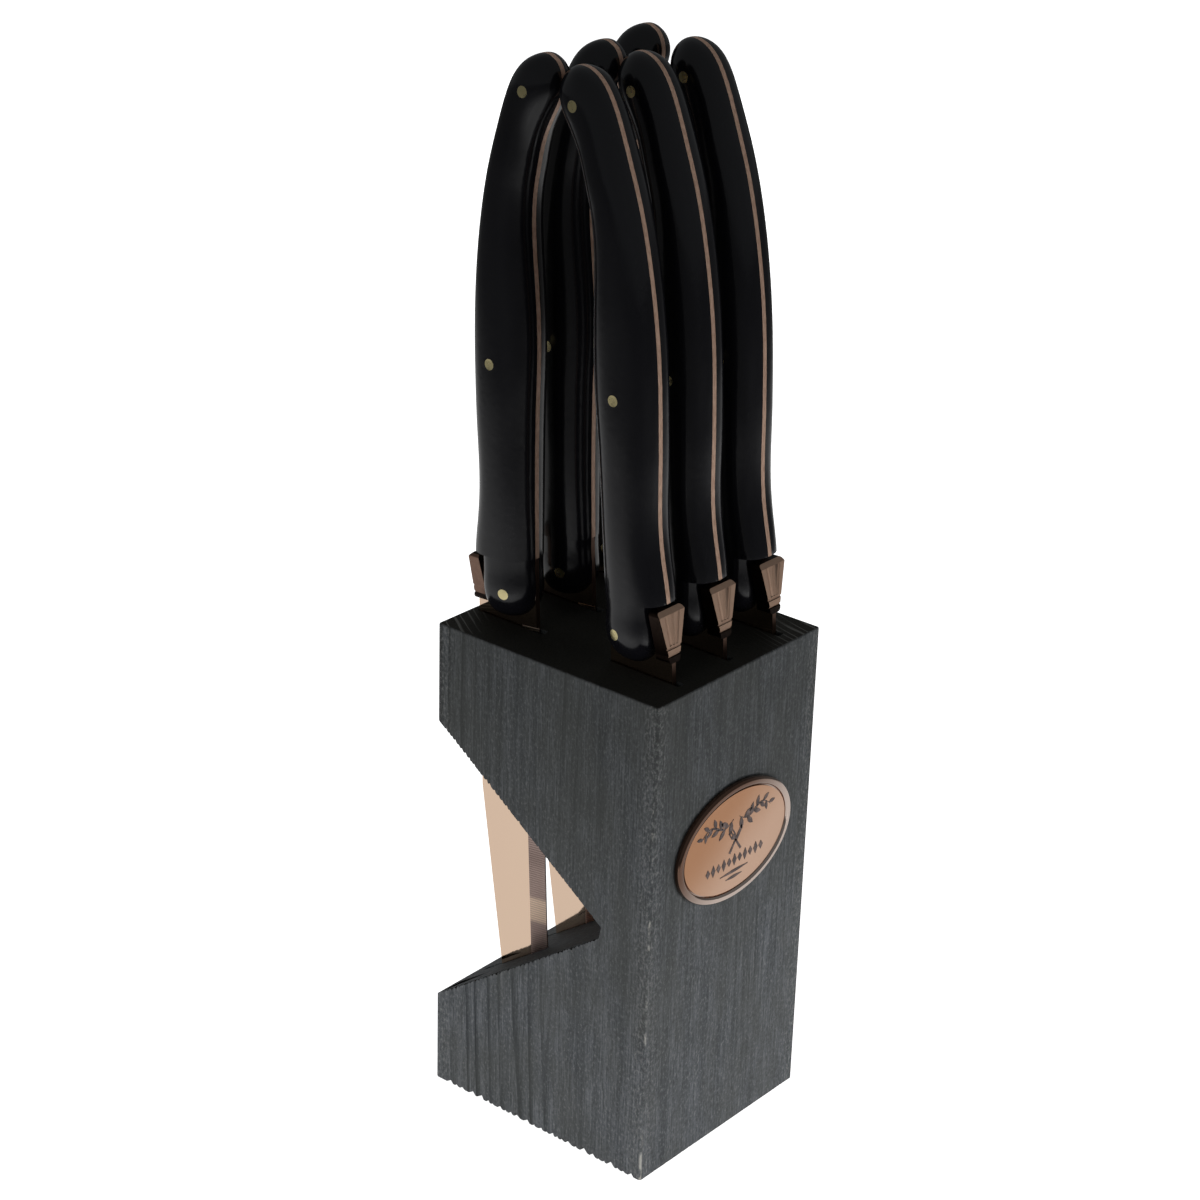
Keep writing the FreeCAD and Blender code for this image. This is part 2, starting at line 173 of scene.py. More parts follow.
def maths(tree, operation, a, b=0.0):
    """The result of a Math node."""
    node = tree.nodes.new("ShaderNodeMath")
    node.operation = operation
    feed(tree, node.inputs[0], a)
    feed(tree, node.inputs[1], b)
    return node.outputs[0]


def vector_maths(tree, operation, a, b):
    """A Vector Math node's outputs, Vector and Value."""
    node = tree.nodes.new("ShaderNodeVectorMath")
    node.operation = operation
    feed(tree, node.inputs[0], a)
    feed(tree, node.inputs[1], b)
    return node.outputs


def place(tree):
    """Where a point of the object is, in the CAD frame at rest."""
    return tree.nodes.new("ShaderNodeTexCoord").outputs["Object"]


def split(tree, vector):
    """The X, Y and Z of a vector."""
    return add(tree, "ShaderNodeSeparateXYZ", Vector=vector).outputs


def noise(tree, where, scale, detail=2.0, roughness=0.5):
    """Noise with its own scale along each axis, in cycles per metre."""
    stretched = vector_maths(tree, "MULTIPLY", where, scale)["Vector"]
    node = add(tree, "ShaderNodeTexNoise", Vector=stretched, Scale=1.0, Detail=detail, Roughness=roughness)
    return node.outputs["Fac"]


def remap(tree, value, low, high, to_low=0.0, to_high=1.0):
    """value eased from the range low to high onto the range to_low to to_high."""
    node = tree.nodes.new("ShaderNodeMapRange")
    node.interpolation_type = "SMOOTHSTEP"
    tree.links.new(value, node.inputs["Value"])
    for name, number in zip(("From Min", "From Max", "To Min", "To Max"), (low, high, to_low, to_high)):
        node.inputs[name].default_value = number
    return node.outputs["Result"]


def mix_colour(tree, share, a, b):
    """Colour a where share is 0, and b where it is 1."""
    node = tree.nodes.new("ShaderNodeMix")
    node.data_type = "RGBA"
    sockets = [s for s in node.inputs if s.type == "RGBA"]
    for socket, value in zip(sockets, (a, b)):
        feed(tree, socket, (*value, 1.0) if isinstance(value, tuple) else value)
    tree.links.new(share, node.inputs[0])
    return [s for s in node.outputs if s.type == "RGBA"][0]


def bump(tree, principled, height, distance, strength=1.0):
    """Gives the surface a fine relief of the given distance."""
    node = add(tree, "ShaderNodeBump", Height=height, Distance=distance, Strength=strength)
    tree.links.new(node.outputs["Normal"], principled.inputs["Normal"])


def facing(tree, axis):
    """1 where the surface faces along an axis, either way, and 0 where it is square to it."""
    normal = tree.nodes.new("ShaderNodeNewGeometry").outputs["Normal"]
    return maths(tree, "ABSOLUTE", split(tree, normal)[axis])


# ------------------------------------------------------------ wood

def growth_rings(tree, where):
    """0 in the pale early wood of each ring, up to 1 in its thin dark late wood."""
    drift = noise(tree, where, (9.0, 9.0, 3.0), 1.0)
    ripple = noise(tree, where, (90.0, 90.0, 9.0), 1.0)
    from_pith = vector_maths(tree, "SUBTRACT", where, PITH)["Vector"]
    flat = vector_maths(tree, "MULTIPLY", from_pith, (1.0, 1.0, 0.0))["Vector"]
    distance = vector_maths(tree, "LENGTH", flat, (0.0, 0.0, 0.0))["Value"]
    years = add(tree, "ShaderNodeCombineXYZ", X=distance)
    uneven = noise(tree, years.outputs[0], (140.0, 1.0, 1.0), 2.0)
    bent = distance
    for waviness, size in ((drift, 12 * MM), (ripple, 0.6 * MM), (uneven, 7 * MM)):
        bent = maths(tree, "ADD", bent, maths(tree, "MULTIPLY", waviness, size))
    rings = maths(tree, "FRACT", maths(tree, "DIVIDE", bent, RING_WIDTH))
    late = maths(tree, "SUBTRACT", remap(tree, rings, 0.55, 0.92), remap(tree, rings, 0.95, 1.0))
    strength = noise(tree, where, (45.0, 45.0, 8.0), 2.0)
    return maths(tree, "MULTIPLY", late, remap(tree, strength, 0.38, 0.62, 0.15, 1.0))


def near_corner(tree, where, reach):
    """1 on the block's upright corners, falling to 0 within reach of them."""
    at = split(tree, where)
    near = []
    for axis, limit in (("X", block_high.x), ("Y", block_high.y)):
        near.append(remap(tree, maths(tree, "ABSOLUTE", at[axis]), limit - reach, limit - reach / 4))
    return maths(tree, "MULTIPLY", *near)


def worn_corner(tree, where):
    """1 in scattered spots along the upright corners, where handling has rubbed the stain off."""
    spots = noise(tree, where, (500.0, 500.0, 260.0), 3.0)
    low_down = remap(tree, split(tree, where)["Z"], 5 * MM, 9 * MM, 0.16, 0.0)
    rubbed = remap(tree, maths(tree, "ADD", spots, low_down), 0.58, 0.74, 0.0, 0.75)
    return maths(tree, "MULTIPLY", near_corner(tree, where, BARE_CORNER), rubbed)


def long_grain(tree, where, rings, fibre):
    """The stain along the fibres, laid over itself in layers, with painted shade that darkens the faces
    towards the top; each has a share and a colour.
    """
    mottle = noise(tree, where, (330.0, 330.0, 110.0), 3.0, 0.6)
    streak = noise(tree, where, (420.0, 420.0, 7.0), 3.0, 0.6)
    fleck = noise(tree, where, (1700.0, 1700.0, 1000.0), 3.0, 0.7)
    patch = noise(tree, where, (70.0, 70.0, 30.0), 3.0, 0.6)
    ring_depth = remap(tree, facing(tree, "Y"), 0.2, 0.8, 0.85, 0.3)
    height = split(tree, where)["Z"]
    rubbed = remap(tree, fleck, 0.44, 0.70, 0.0, 0.3)
    layers = (
        (remap(tree, mottle, 0.36, 0.64, 0.5, 0.0), (0.044, 0.047, 0.049)),
        (remap(tree, streak, 0.30, 0.52, 0.6, 0.0), (0.034, 0.037, 0.040)),
        (remap(tree, fleck, 0.52, 0.70, 0.0, 0.5), (0.175, 0.180, 0.180)),
        (remap(tree, fleck, 0.48, 0.34, 0.0, 0.5), (0.026, 0.028, 0.030)),
        (maths(tree, "MULTIPLY", rings, ring_depth), (0.016, 0.018, 0.020)),
        (remap(tree, patch, 0.35, 0.65, 0.0, 0.35), (0.052, 0.053, 0.048)),
        # painted shade: the side faces darker towards the top, where less light falls
        (remap(tree, height, 20 * MM, block_high.z, 0.0, 0.45), (0.016, 0.017, 0.015)),
        (maths(tree, "MULTIPLY", near_corner(tree, where, HALO), rubbed), (0.19, 0.19, 0.185)),
        (worn_corner(tree, where), (0.34, 0.33, 0.30)),
    )
    colour = mix_colour(tree, remap(tree, fibre, 0.30, 0.72), (0.040, 0.043, 0.046), (0.112, 0.118, 0.127))
    for share, tint in layers:
        colour = mix_colour(tree, share, colour, tint)
    return colour


def end_grain_and_top_shade(tree, where, rings):
    """The stain across the fibres, nearly black: the end grain's own dark stain deepened with painted
    shade on the top, with the rings showing pale at two scuffed corners.
    """
    pores = remap(tree, noise(tree, where, (2400.0, 2400.0, 2400.0), 1.0), 0.55, 0.75)
    # the top's own end-grain stain, darkened further with painted shade
    colour = mix_colour(tree, pores, (0.017, 0.0165, 0.014), (0.008, 0.008, 0.007))
    at = split(tree, where)
    corner = maths(tree, "MULTIPLY", at["X"], at["Y"])
    scuffed = remap(tree, corner, -2.5 * CENTIMETRE_SQUARED, -6.5 * CENTIMETRE_SQUARED)
    pale = maths(tree, "MULTIPLY", scuffed, remap(tree, rings, 0.25, 0.8, 0.0, 0.9))
    return mix_colour(tree, pale, colour, (0.085, 0.085, 0.080))


def stained_wood():
    """Black-stained wood with upright grain: the pale fibres take less stain, end grain takes most, and
    the top is painted darker still as shade.
    """
    material, tree, principled = shader("stained_wood")
    where = place(tree)
    rings = growth_rings(tree, where)
    fibre = noise(tree, where, (2600.0, 2600.0, 90.0), 4.0, 0.7)
    cut_across = remap(tree, facing(tree, "Z"), 0.84, 0.99)
    along, across = long_grain(tree, where, rings, fibre), end_grain_and_top_shade(tree, where, rings)
    tree.links.new(mix_colour(tree, cut_across, along, across), principled.inputs["Base Color"])
    tree.links.new(remap(tree, fibre, 0.2, 0.8, 0.66, 0.85), principled.inputs["Roughness"])
    principled.inputs["Specular IOR Level"].default_value = 0.12
    height = maths(tree, "ADD", fibre, maths(tree, "MULTIPLY", rings, -0.35))
    bump(tree, principled, height, 0.12 * MM, 0.8)
    return material


# ------------------------------------------------------------ metals and handles

def gloss_black():
    """Polished black handle material, with the faint waviness that hand polishing leaves."""
    material, tree, principled = shader("gloss_black")
    where = place(tree)
    cloud = noise(tree, where, (60.0, 60.0, 30.0), 2.0)
    # the slight blue in both blacks is painted reflection of a bluish room
    colour = mix_colour(tree, cloud, (0.0022, 0.0022, 0.0030), (0.0034, 0.0034, 0.0046))
    tree.links.new(colour, principled.inputs["Base Color"])
    smear = noise(tree, where, (160.0, 160.0, 60.0), 3.0, 0.6)
    tree.links.new(remap(tree, smear, 0.3, 0.75, 0.13, 0.22), principled.inputs["Roughness"])
    principled.inputs["Specular IOR Level"].default_value = 0.45
    polish = noise(tree, where, (90.0, 90.0, 45.0), 1.0)
    bump(tree, principled, polish, 0.03 * MM, 0.6)
    return material


def metal(name, colour, shade, roughness, grain, grain_depth):
    """A metal whose colour drifts from colour to shade, with polishing lines of its own scale."""
    material, tree, principled = shader(name)
    where = place(tree)
    drift = noise(tree, where, (80.0, 80.0, 40.0), 2.0)
    tree.links.new(mix_colour(tree, drift, colour, shade), principled.inputs["Base Color"])
    lines = noise(tree, where, grain, 3.0, 0.6)
    tree.links.new(remap(tree, lines, 0.25, 0.75, *roughness), principled.inputs["Roughness"])
    principled.inputs["Metallic"].default_value = 1.0
    bump(tree, principled, lines, grain_depth, 0.5)
    return material


def reflection_graded_copper(name, dark, bright, roughness):
    """Copper painted dark at its upper left and bright at its lower right: painted reflection of a dim
    room above and a bright table below.
    """
    material, tree, principled = shader(name)
    where = place(tree)
    low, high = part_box("badge_frame")
    centre = (low + high) / 2
    from_centre = vector_maths(tree, "SUBTRACT", where, tuple(centre))["Vector"]
    slant = (high.z - low.z, 0.0, low.x - high.x)
    across = vector_maths(tree, "DOT_PRODUCT", from_centre, slant)["Value"]
    reach = (high.z - low.z) * (high.x - low.x) / 2
    cloud = noise(tree, where, (150.0, 150.0, 150.0), 2.0)
    drifted = maths(tree, "ADD", across, maths(tree, "MULTIPLY", cloud, reach / 4))
    brightness = remap(tree, drifted, -0.75 * reach, 0.95 * reach)
    tree.links.new(mix_colour(tree, brightness, dark, bright), principled.inputs["Base Color"])
    principled.inputs["Metallic"].default_value = 1.0
    principled.inputs["Roughness"].default_value = roughness
    bump(tree, principled, cloud, 0.02 * MM, 0.3)
    return material


def brushed_edge():
    """The narrow edges of the tang and the spine, left dull from the belt."""
    material, tree, principled = shader("brushed_edge")
    where = place(tree)
    scratches = noise(tree, where, (2500.0, 2500.0, 500.0), 3.0, 0.6)
    colour = mix_colour(tree, remap(tree, scratches, 0.3, 0.7), (0.40, 0.25, 0.18), (0.58, 0.39, 0.29))
    tree.links.new(colour, principled.inputs["Base Color"])
    principled.inputs["Metallic"].default_value = 0.55
    principled.inputs["Roughness"].default_value = 0.4
    bump(tree, principled, scratches, 0.01 * MM, 0.5)
    return material


def ground_bevel():
    """The bevel's fine ground teeth, darker by turns along their pitch, with painted reflection in bands:
    dark where it mirrors a dim room, bright copper where it mirrors the light.
    """
    material, tree, principled = shader("ground_bevel")
    where = place(tree)
    turns = maths(tree, "MULTIPLY", split(tree, where)["Z"], 2 * math.pi / SERRATION_PITCH)
    wave = remap(tree, maths(tree, "SINE", turns), -1.0, 1.0)
    # painted reflection: dark and bright bands along the bevel
    reflection_bands = noise(tree, where, (8.0, 8.0, 75.0), 1.0)
    colour = mix_colour(tree, remap(tree, reflection_bands, 0.30, 0.52), (0.16, 0.11, 0.095), (0.46, 0.34, 0.30))
    colour = mix_colour(tree, remap(tree, reflection_bands, 0.56, 0.62), colour, (0.90, 0.68, 0.52))
    colour = mix_colour(tree, remap(tree, wave, 0.2, 0.9, 0.0, 0.35), colour, (0.20, 0.14, 0.13))
    tree.links.new(colour, principled.inputs["Base Color"])
    principled.inputs["Metallic"].default_value = 1.0
    principled.inputs["Roughness"].default_value = 0.3
    bump(tree, principled, wave, 0.06 * MM, 0.7)
    return material


def adhesive_foam():
    """The dark foam pad that sticks the badge on."""
    material, tree, principled = shader("adhesive_foam")
    cells = noise(tree, place(tree), (3000.0, 3000.0, 3000.0), 1.0)
    colour = mix_colour(tree, cells, (0.015, 0.015, 0.015), (0.04, 0.04, 0.04))
    tree.links.new(colour, principled.inputs["Base Color"])
    principled.inputs["Roughness"].default_value = 0.9
    bump(tree, principled, cells, 0.1 * MM)
    return material


def blackened_copper():
    """The darkened metal of the badge's ornament."""
    material, tree, principled = shader("blackened_copper")
    wear = noise(tree, place(tree), (900.0, 900.0, 900.0), 2.0)
    colour = mix_colour(tree, remap(tree, wear, 0.35, 0.75), (0.060, 0.045, 0.043), (0.14, 0.10, 0.09))
    tree.links.new(colour, principled.inputs["Base Color"])
    principled.inputs["Metallic"].default_value = 0.4
    principled.inputs["Roughness"].default_value = 0.5
    return material


FINE = (900.0, 900.0, 40.0)      # polishing lines that run up the blade
GRAINY = (900.0, 900.0, 900.0)   # a cast or sanded surface, the same every way

wood = stained_wood()
black = gloss_black()
copper_steel = metal(
    "copper_coated_steel", (0.95, 0.71, 0.53), (0.94, 0.69, 0.52), (0.03, 0.06), FINE, 0.002 * MM)
plate_copper = metal(
    "cast_copper_plate", (0.80, 0.54, 0.39), (0.55, 0.36, 0.26), (0.32, 0.5), GRAINY, 0.05 * MM)
# painted shade: a darker copy of the plate's copper for the back plates' sides
shaded_side_copper = metal(
    "cast_copper_side_shaded", (0.26, 0.16, 0.115), (0.17, 0.10, 0.075), (0.25, 0.4), GRAINY, 0.02 * MM)
# painted shade for the plates' tops and feet and the front plates' sides
dark_copper = metal(
    "shaded_copper", (0.035, 0.022, 0.016), (0.022, 0.014, 0.011), (0.4, 0.55), GRAINY, 0.02 * MM)
rivet_brass = metal(
    "rivet_brass", (0.86, 0.76, 0.42), (0.78, 0.66, 0.34), (0.25, 0.35), GRAINY, 0.005 * MM)
shaded_edge = metal(
    "shaded_edge", (0.22, 0.135, 0.10), (0.15, 0.09, 0.065), (0.35, 0.45), GRAINY, 0.01 * MM)
# badge rim and face: painted reflection, dark at the upper left and bright at the lower right
badge_rim = reflection_graded_copper("badge_rim", (0.18, 0.105, 0.075), (0.70, 0.57, 0.50), 0.14)
badge_face = reflection_graded_copper("badge_face", (0.55, 0.28, 0.15), (0.76, 0.50, 0.36), 0.32)
edge_copper = brushed_edge()
bevel_steel = ground_bevel()
foam = adhesive_foam()
blackened = blackened_copper()


# ------------------------------------------------------------ mesh helpers

def new_piece(name, bm, materials, body):
    """Turns a bmesh into a smooth-shaded piece that rides on a body."""
    for face in bm.faces:
        face.smooth = True
    for edge in bm.edges:
        edge.smooth = edge.calc_face_angle(math.pi) < SHARP
    mesh = bpy.data.meshes.new(name)
    bm.to_mesh(mesh)
    bm.free()
    piece = bpy.data.objects.new(name, mesh)
    bpy.context.scene.collection.objects.link(piece)
    for material in materials:
        mesh.materials.append(material)
    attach(piece, body)
    return piece


def node_bmesh(node):
    """The node's shape as one welded mesh, with its flat faces whole."""
    bm = bmesh.new()
    bm.from_mesh(nodes[node].data)
    bmesh.ops.remove_doubles(bm, verts=bm.verts, dist=TINY / 10)
    bmesh.ops.dissolve_limit(bm, angle_limit=math.radians(0.2), verts=bm.verts, edges=bm.edges)
    return bm


def repaint(node, material):
    """Gives a CAD mesh one material."""
    nodes[node].data.materials.clear()
    nodes[node].data.materials.append(material)


def weight_edges(bm, chosen):
    """Marks the sharp edges that chosen() picks, for ease() to round."""
    weights = bm.edges.layers.float.new("bevel_weight_edge")
    for edge in bm.edges:
        edge[weights] = 1.0 if edge.calc_face_angle(0.0) > SHARP and chosen(edge) else 0.0


def ease(piece, width):
    """Rounds the edges that have a weight."""
    eased = piece.modifiers.new("eased", "BEVEL")
    eased.limit_method = "WEIGHT"
    eased.width = width
    eased.segments = 2
    eased.harden_normals = False


def cut_away(piece, bm):
    """Cuts the solids in bm out of the piece for good, along with its modifiers."""
    mesh = bpy.data.meshes.new("cutter")
    bm.to_mesh(mesh)
    bm.free()
    cutter = bpy.data.objects.new("cutter", mesh)
    bpy.context.scene.collection.objects.link(cutter)
    cut = piece.modifiers.new("cut", "BOOLEAN")
    cut.operation = "DIFFERENCE"
    cut.solver = "EXACT"
    cut.object = cutter
    graph = bpy.context.evaluated_depsgraph_get()
    made = bpy.data.meshes.new_from_object(piece.evaluated_get(graph))
    piece.modifiers.clear()
    piece.data = made
    bpy.data.objects.remove(cutter)


# ------------------------------------------------------------ block

def tear_out(bm, start, end, outward, grain, under, size):
    """Torn splinters along an edge from start to end, as solids to cut away.

    outward points out of the face that tore, grain runs up that face along
    the fibres, under runs away from the edge along the other face, and size
    is the usual width of a splinter.
    """
    along = (end - start).normalized()
    length = (end - start).length
    clear = outward * CUTTER_PROUD - (grain - along * grain.dot(along)) * CUTTER_PROUD
    at = dice.uniform(0.1, 0.6) * size
    while at < length - 1.5 * size:
        width = size * dice.uniform(0.6, 1.3)
        height = width * dice.uniform(0.35, 0.6)
        depth = height * dice.uniform(1.6, 2.4)
        middle = start + along * (at + width / 2)
        lean = along * width * dice.uniform(-0.3, 0.3)
        corners = []
        for inward, share in ((0.0, 1.0), (depth, 0.5)):
            base = middle + under * inward + clear
            half = along * width * share / 2
            corners += [base - half, base + half, base + lean * share + grain * height * share]
        bmesh.ops.convex_hull(bm, input=[bm.verts.new(corner) for corner in corners])
        at += width * dice.uniform(1.0, 1.3)


def side_tears(bm, x, outward, low, high):
    """The chips along the base and the notch in the side face at x."""
    front, rear = Vector((x, low.y + CORNER_INSET, 0)), Vector((x, high.y - CORNER_INSET, 0))
    tear_out(bm, front, rear, outward, UP, -outward, BASE_CHIP)
    for lip, inside, grain in NOTCH_CUTS:
        inner, outer = Vector((x, NOTCH_DEPTH_Y, inside)), Vector((x, high.y, lip))
        start, end = (inner.lerp(outer, share) for share in NOTCH_SPAN)
        tear_out(bm, start, end, outward, grain, -outward, NOTCH_CHIP)


def board_tears(board, low, high):
    """The chips that the saw tore out of one board's edges."""
    bm = bmesh.new()
    if board == "left":
        side_tears(bm, low.x, Vector((-1, 0, 0)), low, high)
    if board == "right":
        side_tears(bm, high.x, Vector((1, 0, 0)), low, high)
    left, right = Vector((low.x + CHIP_INSET, 0, 0)), Vector((high.x - CHIP_INSET, 0, 0))
    for y, outward in ((low.y, -BACK), (high.y, BACK)):
        shift = Vector((0, y, 0))
        tear_out(bm, left + shift, right + shift, outward, UP, -outward, SMALL_CHIP)
    for lip, inside, grain in NOTCH_CUTS:
        shift = Vector((0, high.y, lip))
        under = Vector((0, NOTCH_DEPTH_Y - high.y, inside - lip)).normalized()
        tear_out(bm, left + shift, right + shift, BACK, grain, under, SMALL_CHIP)
    return bm


def board_piece(board):
    """A board with worn edges, and with fibres torn where the saw came out of the wood."""
    node = "block_board_" + board
    low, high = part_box(node)
    seams = [x for x in (low.x, high.x) if block_low.x + MM < x < block_high.x - MM]

    def worn(edge):
        first, last = (vert.co for vert in edge.verts)
        run = last - first
        on_seam = abs(run.x) < TINY and any(abs(first.x - x) < SEAM_REACH for x in seams)
        beside_notch = min(abs(run.y), abs(run.z)) > SLANTED * run.length
        return not (on_seam or beside_notch)

    bm = node_bmesh(node)
    weight_edges(bm, worn)
    piece = new_piece("wood_" + node, bm, [wood], "block")
    ease(piece, EDGE_WEAR)
    cut_away(piece, board_tears(board, low, high))
    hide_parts(node)


for board in BOARDS:
    board_piece(board)


# ------------------------------------------------------------ knives

def blade_piece(knife, body):
    """The blade and tang, with the ground bevel and the dull narrow edges painted apart, and the narrow
    edges below the plate's top in painted shade.
    """
    bm = node_bmesh(knife + "blade")
    plate_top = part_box(knife + "spine_plate")[1].z
    finishes = [copper_steel, bevel_steel, edge_copper, shaded_edge]
    bevel, upper_edge, shaded_lower_edge = 1, 2, 3
    for face in bm.faces:
        sideways = abs(face.normal.x)
        if sideways < NARROW_FACE:
            above_plate = face.calc_center_median().z > plate_top
            # narrow edges below the plate's top take painted shade
            face.material_index = upper_edge if above_plate else shaded_lower_edge
        elif BEVEL_FACE[0] < sideways < BEVEL_FACE[1]:
            face.material_index = bevel
    piece = new_piece("steel_" + knife + "blade", bm, finishes, body)
    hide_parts(knife + "blade")


def plate_piece(knife, body, front, sides):
    """The spine plate with rounded edges, bright on its face, with painted shade on its top, its foot and
    its sides.
    """
    bm = node_bmesh(knife + "spine_plate")
    foot_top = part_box(knife + "spine_plate")[0].z + PLATE_FOOT
    finishes = [plate_copper, sides, dark_copper]
    side, dark = 1, 2
    # the top, the foot and the sides take painted shade
    for face in bm.faces:
        if face.calc_center_median().z < foot_top or face.normal.z > PLATE_TOP_FACE:
            face.material_index = dark
        elif face.normal.dot(front) < PLATE_SIDE_FACE:
            face.material_index = side

    def on_rim(edge):
        forward = max(face.normal.dot(front) for face in edge.link_faces)
        return forward > PLATE_FRONT_FACE and edge.calc_face_angle(0.0) > PLATE_RIM_BEND

    weight_edges(bm, on_rim)
    piece = new_piece("copper_" + knife + "spine_plate", bm, finishes, body)
    ease(piece, PLATE_EDGE)
    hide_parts(knife + "spine_plate")


def scale_piece(knife, side, body):
    """A handle scale whose ledge over the spine plate is rounded."""
    bm = node_bmesh(knife + side)
    plate_low, plate_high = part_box(knife + "spine_plate")
    tang = (plate_low.x + plate_high.x) / 2

    def on_ledge(edge):
        middle = (edge.verts[0].co + edge.verts[1].co) / 2
        return abs(middle.z - plate_high.z) < LEDGE_HEIGHT and abs(middle.x - tang) > TANG_CLEAR

    weight_edges(bm, on_ledge)
    piece = new_piece("black_" + knife + side, bm, [black], body)
    ease(piece, LEDGE_ROUNDING)
    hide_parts(knife + side)


# The plates' sides are painted shade: near black on the front row, dim copper on the back row.
for row, front, sides in (("front", -BACK, dark_copper), ("back", BACK, shaded_side_copper)):
    for column in COLUMNS:
        knife = "knife_%s_%s_" % (row, column)
        body = knife.rstrip("_")
        blade_piece(knife, body)
        plate_piece(knife, body, front, sides)
        scale_piece(knife, "scale_left", body)
        scale_piece(knife, "scale_right", body)
        repaint(knife + "pins", rivet_brass)


# ------------------------------------------------------------ badge

def relief(bm, points):
    """A flat shape in millimetres on the badge's face, raised a little."""
    low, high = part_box("badge_plate")
    centre = (low + high) / 2
    rims = []
    for y in (low.y + TINY, low.y - ORNAMENT_RELIEF):
        rims.append([bm.verts.new((centre.x + x * MM, y, centre.z + z * MM)) for x, z in points])
    inner, outer = rims
    faces = [bm.faces.new(inner), bm.faces.new(outer)]
    for i in range(len(points)):
        j = (i + 1) % len(points)
        faces.append(bm.faces.new((inner[i], inner[j], outer[j], outer[i])))
    bmesh.ops.recalc_face_normals(bm, faces=faces)


def turned(points, place_at, angle, mirror=1):
    """The points turned by an angle in degrees, moved, and mirrored if mirror is -1."""
    c, s = math.cos(math.radians(angle)), math.sin(math.radians(angle))
    return [(mirror * (place_at[0] + x * c - z * s), place_at[1] + x * s + z * c) for x, z in points]


def leaf(length, width):
    """A pointed leaf that starts at the origin and points along +X."""
    steps = [i / 6 for i in range(7)]
    upper = [(length * t, width / 2 * math.sin(math.pi * t)) for t in steps]
    lower = [(x, -z) for x, z in reversed(upper[1:-1])]
    return upper + lower


def ribbon(path, width):
    """A strip of a given width that tapers to both ends of a path."""
    left, right = [], []
    for i in range(len(path)):
        before, after = path[max(i - 1, 0)], path[min(i + 1, len(path) - 1)]
        run = math.dist(before, after)
        across = ((before[1] - after[1]) / run, (after[0] - before[0]) / run)
        half = width / 2 * max(math.sin(math.pi * i / (len(path) - 1)), 0.25)
        left.append((path[i][0] + across[0] * half, path[i][1] + across[1] * half))
        right.append((path[i][0] - across[0] * half, path[i][1] - across[1] * half))
    return left + right[::-1]


def sprig_line(t):
    """The stem of the upper sprig, from the middle out."""
    return (1.0 + 11.0 * t, 5.6 - 1.2 * math.sin(2.0 * math.pi * t) - 1.2 * t * t)


def table_knife():
    """A table knife with its blade up."""
    handle = [(-0.35, -3.4), (0.35, -3.4), (0.28, -0.3)]
    blade = [(0.65, 0.0), (0.65, 2.5), (0.15, 3.5), (-0.28, 3.6), (-0.28, -0.3)]
    return handle + blade


def table_fork():
    """A fork with three tines, head up."""
    handle = [(0.30, -3.4), (0.22, 0.3)]
    outer_tine = [(0.85, 1.1), (0.85, 3.3), (0.52, 3.3), (0.52, 1.7)]
    middle_tine = [(0.17, 1.7), (0.17, 3.3)]
    half = handle + outer_tine + middle_tine
    return half + [(-x, z) for x, z in reversed(half)]


def sprig(bm, mirror):
    """A leafy sprig to the right of the middle, or to the left if mirror is -1."""
    stem = [sprig_line(i / 14) for i in range(15)]
    relief(bm, [(mirror * x, z) for x, z in ribbon(stem, STEM_WIDTH)][::mirror])
    longest, shortest = LEAF_LENGTHS
    for i in range(LEAVES):
        t = (i + 0.5) / LEAVES
        x, z = sprig_line(t)
        ahead = sprig_line(t + 0.05)
        slope = math.degrees(math.atan2(ahead[1] - z, ahead[0] - x))
        tilt = LEAF_ANGLE if i % 2 else -LEAF_ANGLE
        size = longest - (longest - shortest) * t
        relief(bm, turned(leaf(size, size * LEAF_SLIMNESS), (x, z), slope + tilt, mirror)[::mirror])


def lozenges(bm):
    """A row of lozenges, tall and low by turns."""
    for i in range(LOZENGES):
        x = (i - (LOZENGES - 1) / 2) * LOZENGE_PITCH
        half = LOZENGE_HALF_HEIGHTS[i % 2]
        left, right = (x - LOZENGE_HALF_WIDTH, LOZENGE_ROW), (x + LOZENGE_HALF_WIDTH, LOZENGE_ROW)
        relief(bm, [left, (x, LOZENGE_ROW - half), right, (x, LOZENGE_ROW + half)])


def badge_ornament():
    """Crossed knife and fork under two leafy sprigs, over a row of lozenges and two rules."""
    bm = bmesh.new()
    relief(bm, turned(table_knife(), CUTLERY_CENTRE, -CUTLERY_ANGLE))
    relief(bm, turned(table_fork(), CUTLERY_CENTRE, CUTLERY_ANGLE))
    sprig(bm, 1)
    sprig(bm, -1)
    lozenges(bm)
    for z, half in RULES:
        rule = [(half * (i / 5 - 1), z) for i in range(11)]
        relief(bm, ribbon(rule, RULE_WIDTH))
    new_piece("badge_ornament", bm, [blackened], "block")


repaint("badge_adhesive_pad", foam)
repaint("badge_frame", badge_rim)
repaint("badge_plate", badge_face)
badge_ornament()


# ------------------------------------------------------------ studio

def point(made, place_at, direction, roll=0.0):
    """Puts a camera or a light in its place, facing a direction."""
    bpy.context.scene.collection.objects.link(made)
    made.location = place_at
    made.rotation_mode = "QUATERNION"
    level = Vector(direction).to_track_quat("-Z", "Y")
    made.rotation_quaternion = level @ Quaternion((0.0, 0.0, 1.0), roll)


def camera():
    """The camera that took the photograph, as well as it can be worked out."""
    data = bpy.data.cameras.new("camera")
    data.lens = CAMERA_LENS
    data.sensor_width = CAMERA_SENSOR
    data.clip_start, data.clip_end = CAMERA_CLIP
    made = bpy.data.objects.new("camera", data)
    point(made, CAMERA_PLACE, CAMERA_DIRECTION, CAMERA_ROLL)
    bpy.context.scene.camera = made


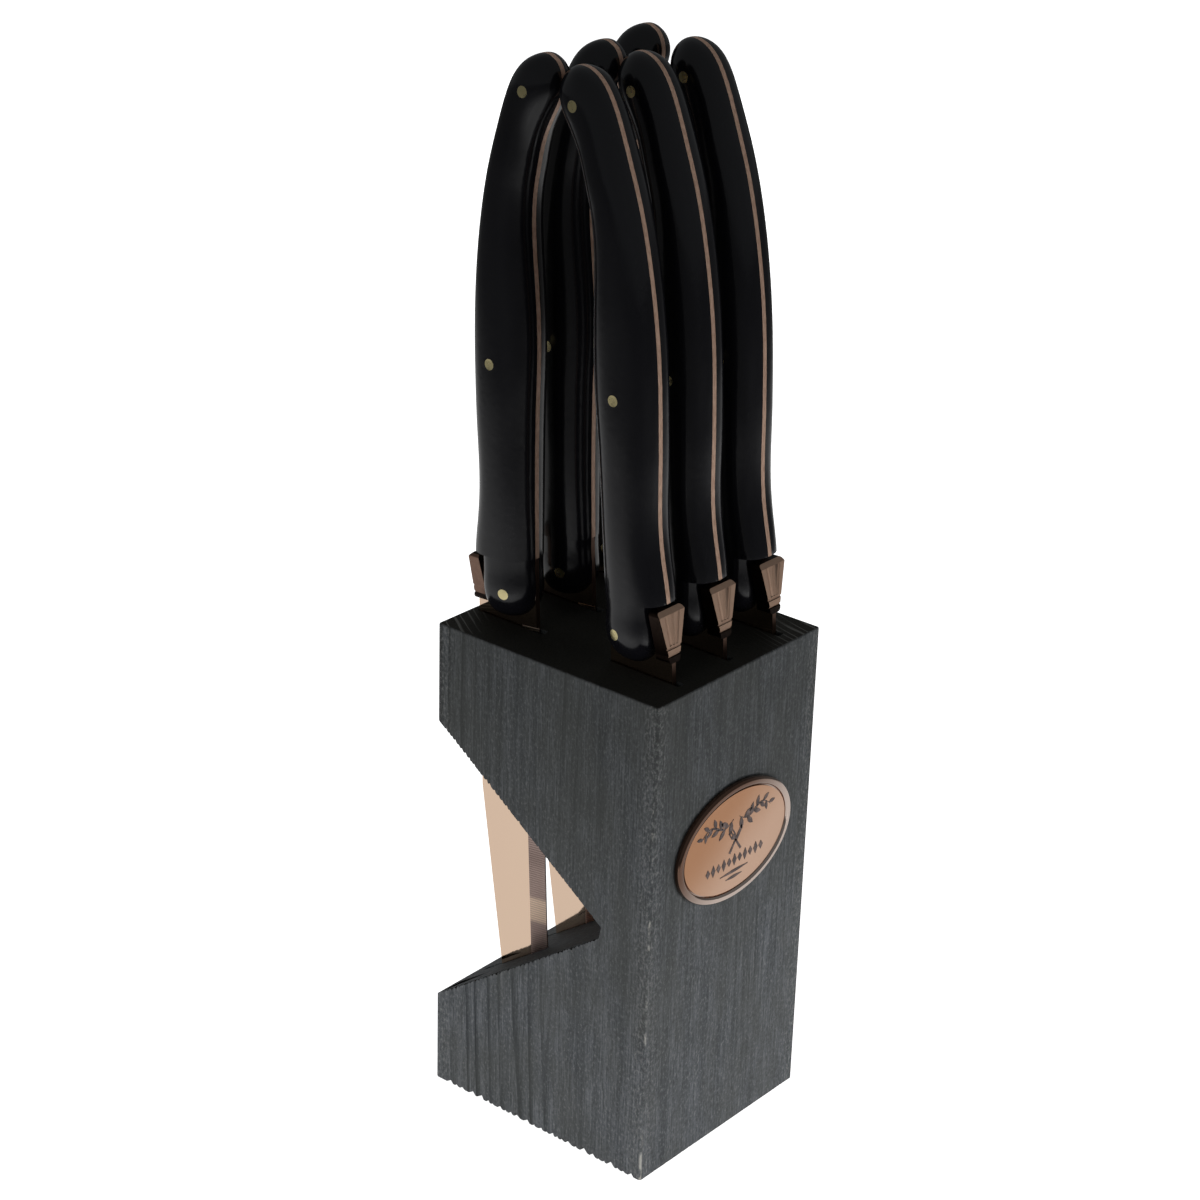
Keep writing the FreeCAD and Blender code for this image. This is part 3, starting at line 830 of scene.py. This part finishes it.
def softbox(name, place_at, aim_at, size, power):
    """A soft rectangular light that doesn't show, not even mirrored in a polished part."""
    data = bpy.data.lights.new(name, "AREA")
    data.shape = "RECTANGLE"
    data.size, data.size_y = size
    data.energy = power
    made = bpy.data.objects.new(name, data)
    point(made, place_at, Vector(aim_at) - Vector(place_at))
    made.visible_camera = False
    made.visible_glossy = False


def camera_ray(tree):
    """1 for what the camera sees itself, and 0 for reflections and for the light on things."""
    return tree.nodes.new("ShaderNodeLightPath").outputs["Is Camera Ray"]


def white_table():
    """White that glows round TABLE_CENTRE, and that the camera sees as even all over."""
    material, tree, principled = shader("white_table")
    seen = camera_ray(tree)
    surface = mix_colour(tree, seen, (0.1, 0.1, 0.1), (0.8, 0.8, 0.8))
    tree.links.new(surface, principled.inputs["Base Color"])
    principled.inputs["Roughness"].default_value = 0.9
    principled.inputs["Specular IOR Level"].default_value = 0.0
    distance = vector_maths(tree, "DISTANCE", place(tree), TABLE_CENTRE)["Value"]
    glow = remap(tree, distance, *TABLE_FALL_OFF, *TABLE_GLOW)
    extra = maths(tree, "MULTIPLY", seen, maths(tree, "SUBTRACT", TABLE_SEEN, glow))
    principled.inputs["Emission Color"].default_value = (1.0, 1.0, 1.0, 1.0)
    tree.links.new(maths(tree, "ADD", glow, extra), principled.inputs["Emission Strength"])
    return material


def light_table():
    """A white table lit from below, brightest round the block."""
    bm = bmesh.new()
    bmesh.ops.create_grid(bm, x_segments=8, y_segments=8, size=TABLE_HALF_WIDTH)
    mesh = bpy.data.meshes.new("table")
    bm.to_mesh(mesh)
    bm.free()
    mesh.materials.append(white_table())
    made = bpy.data.objects.new("table", mesh)
    bpy.context.scene.collection.objects.link(made)


def surroundings():
    """White all round for the camera, a dim room for the light."""
    world = bpy.data.worlds.new("studio")
    bpy.context.scene.world = world
    world.use_nodes = True
    tree = world.node_tree
    background = tree.nodes["Background"]
    background.inputs["Color"].default_value = (0.95, 0.98, 1.0, 1.0)
    tree.links.new(maths(tree, "ADD", camera_ray(tree), ROOM_GLOW), background.inputs["Strength"])


camera()
light_table()
surroundings()
for name, settings in SOFTBOXES.items():
    softbox(name, *settings)
bpy.context.scene.view_settings.view_transform = "Standard"
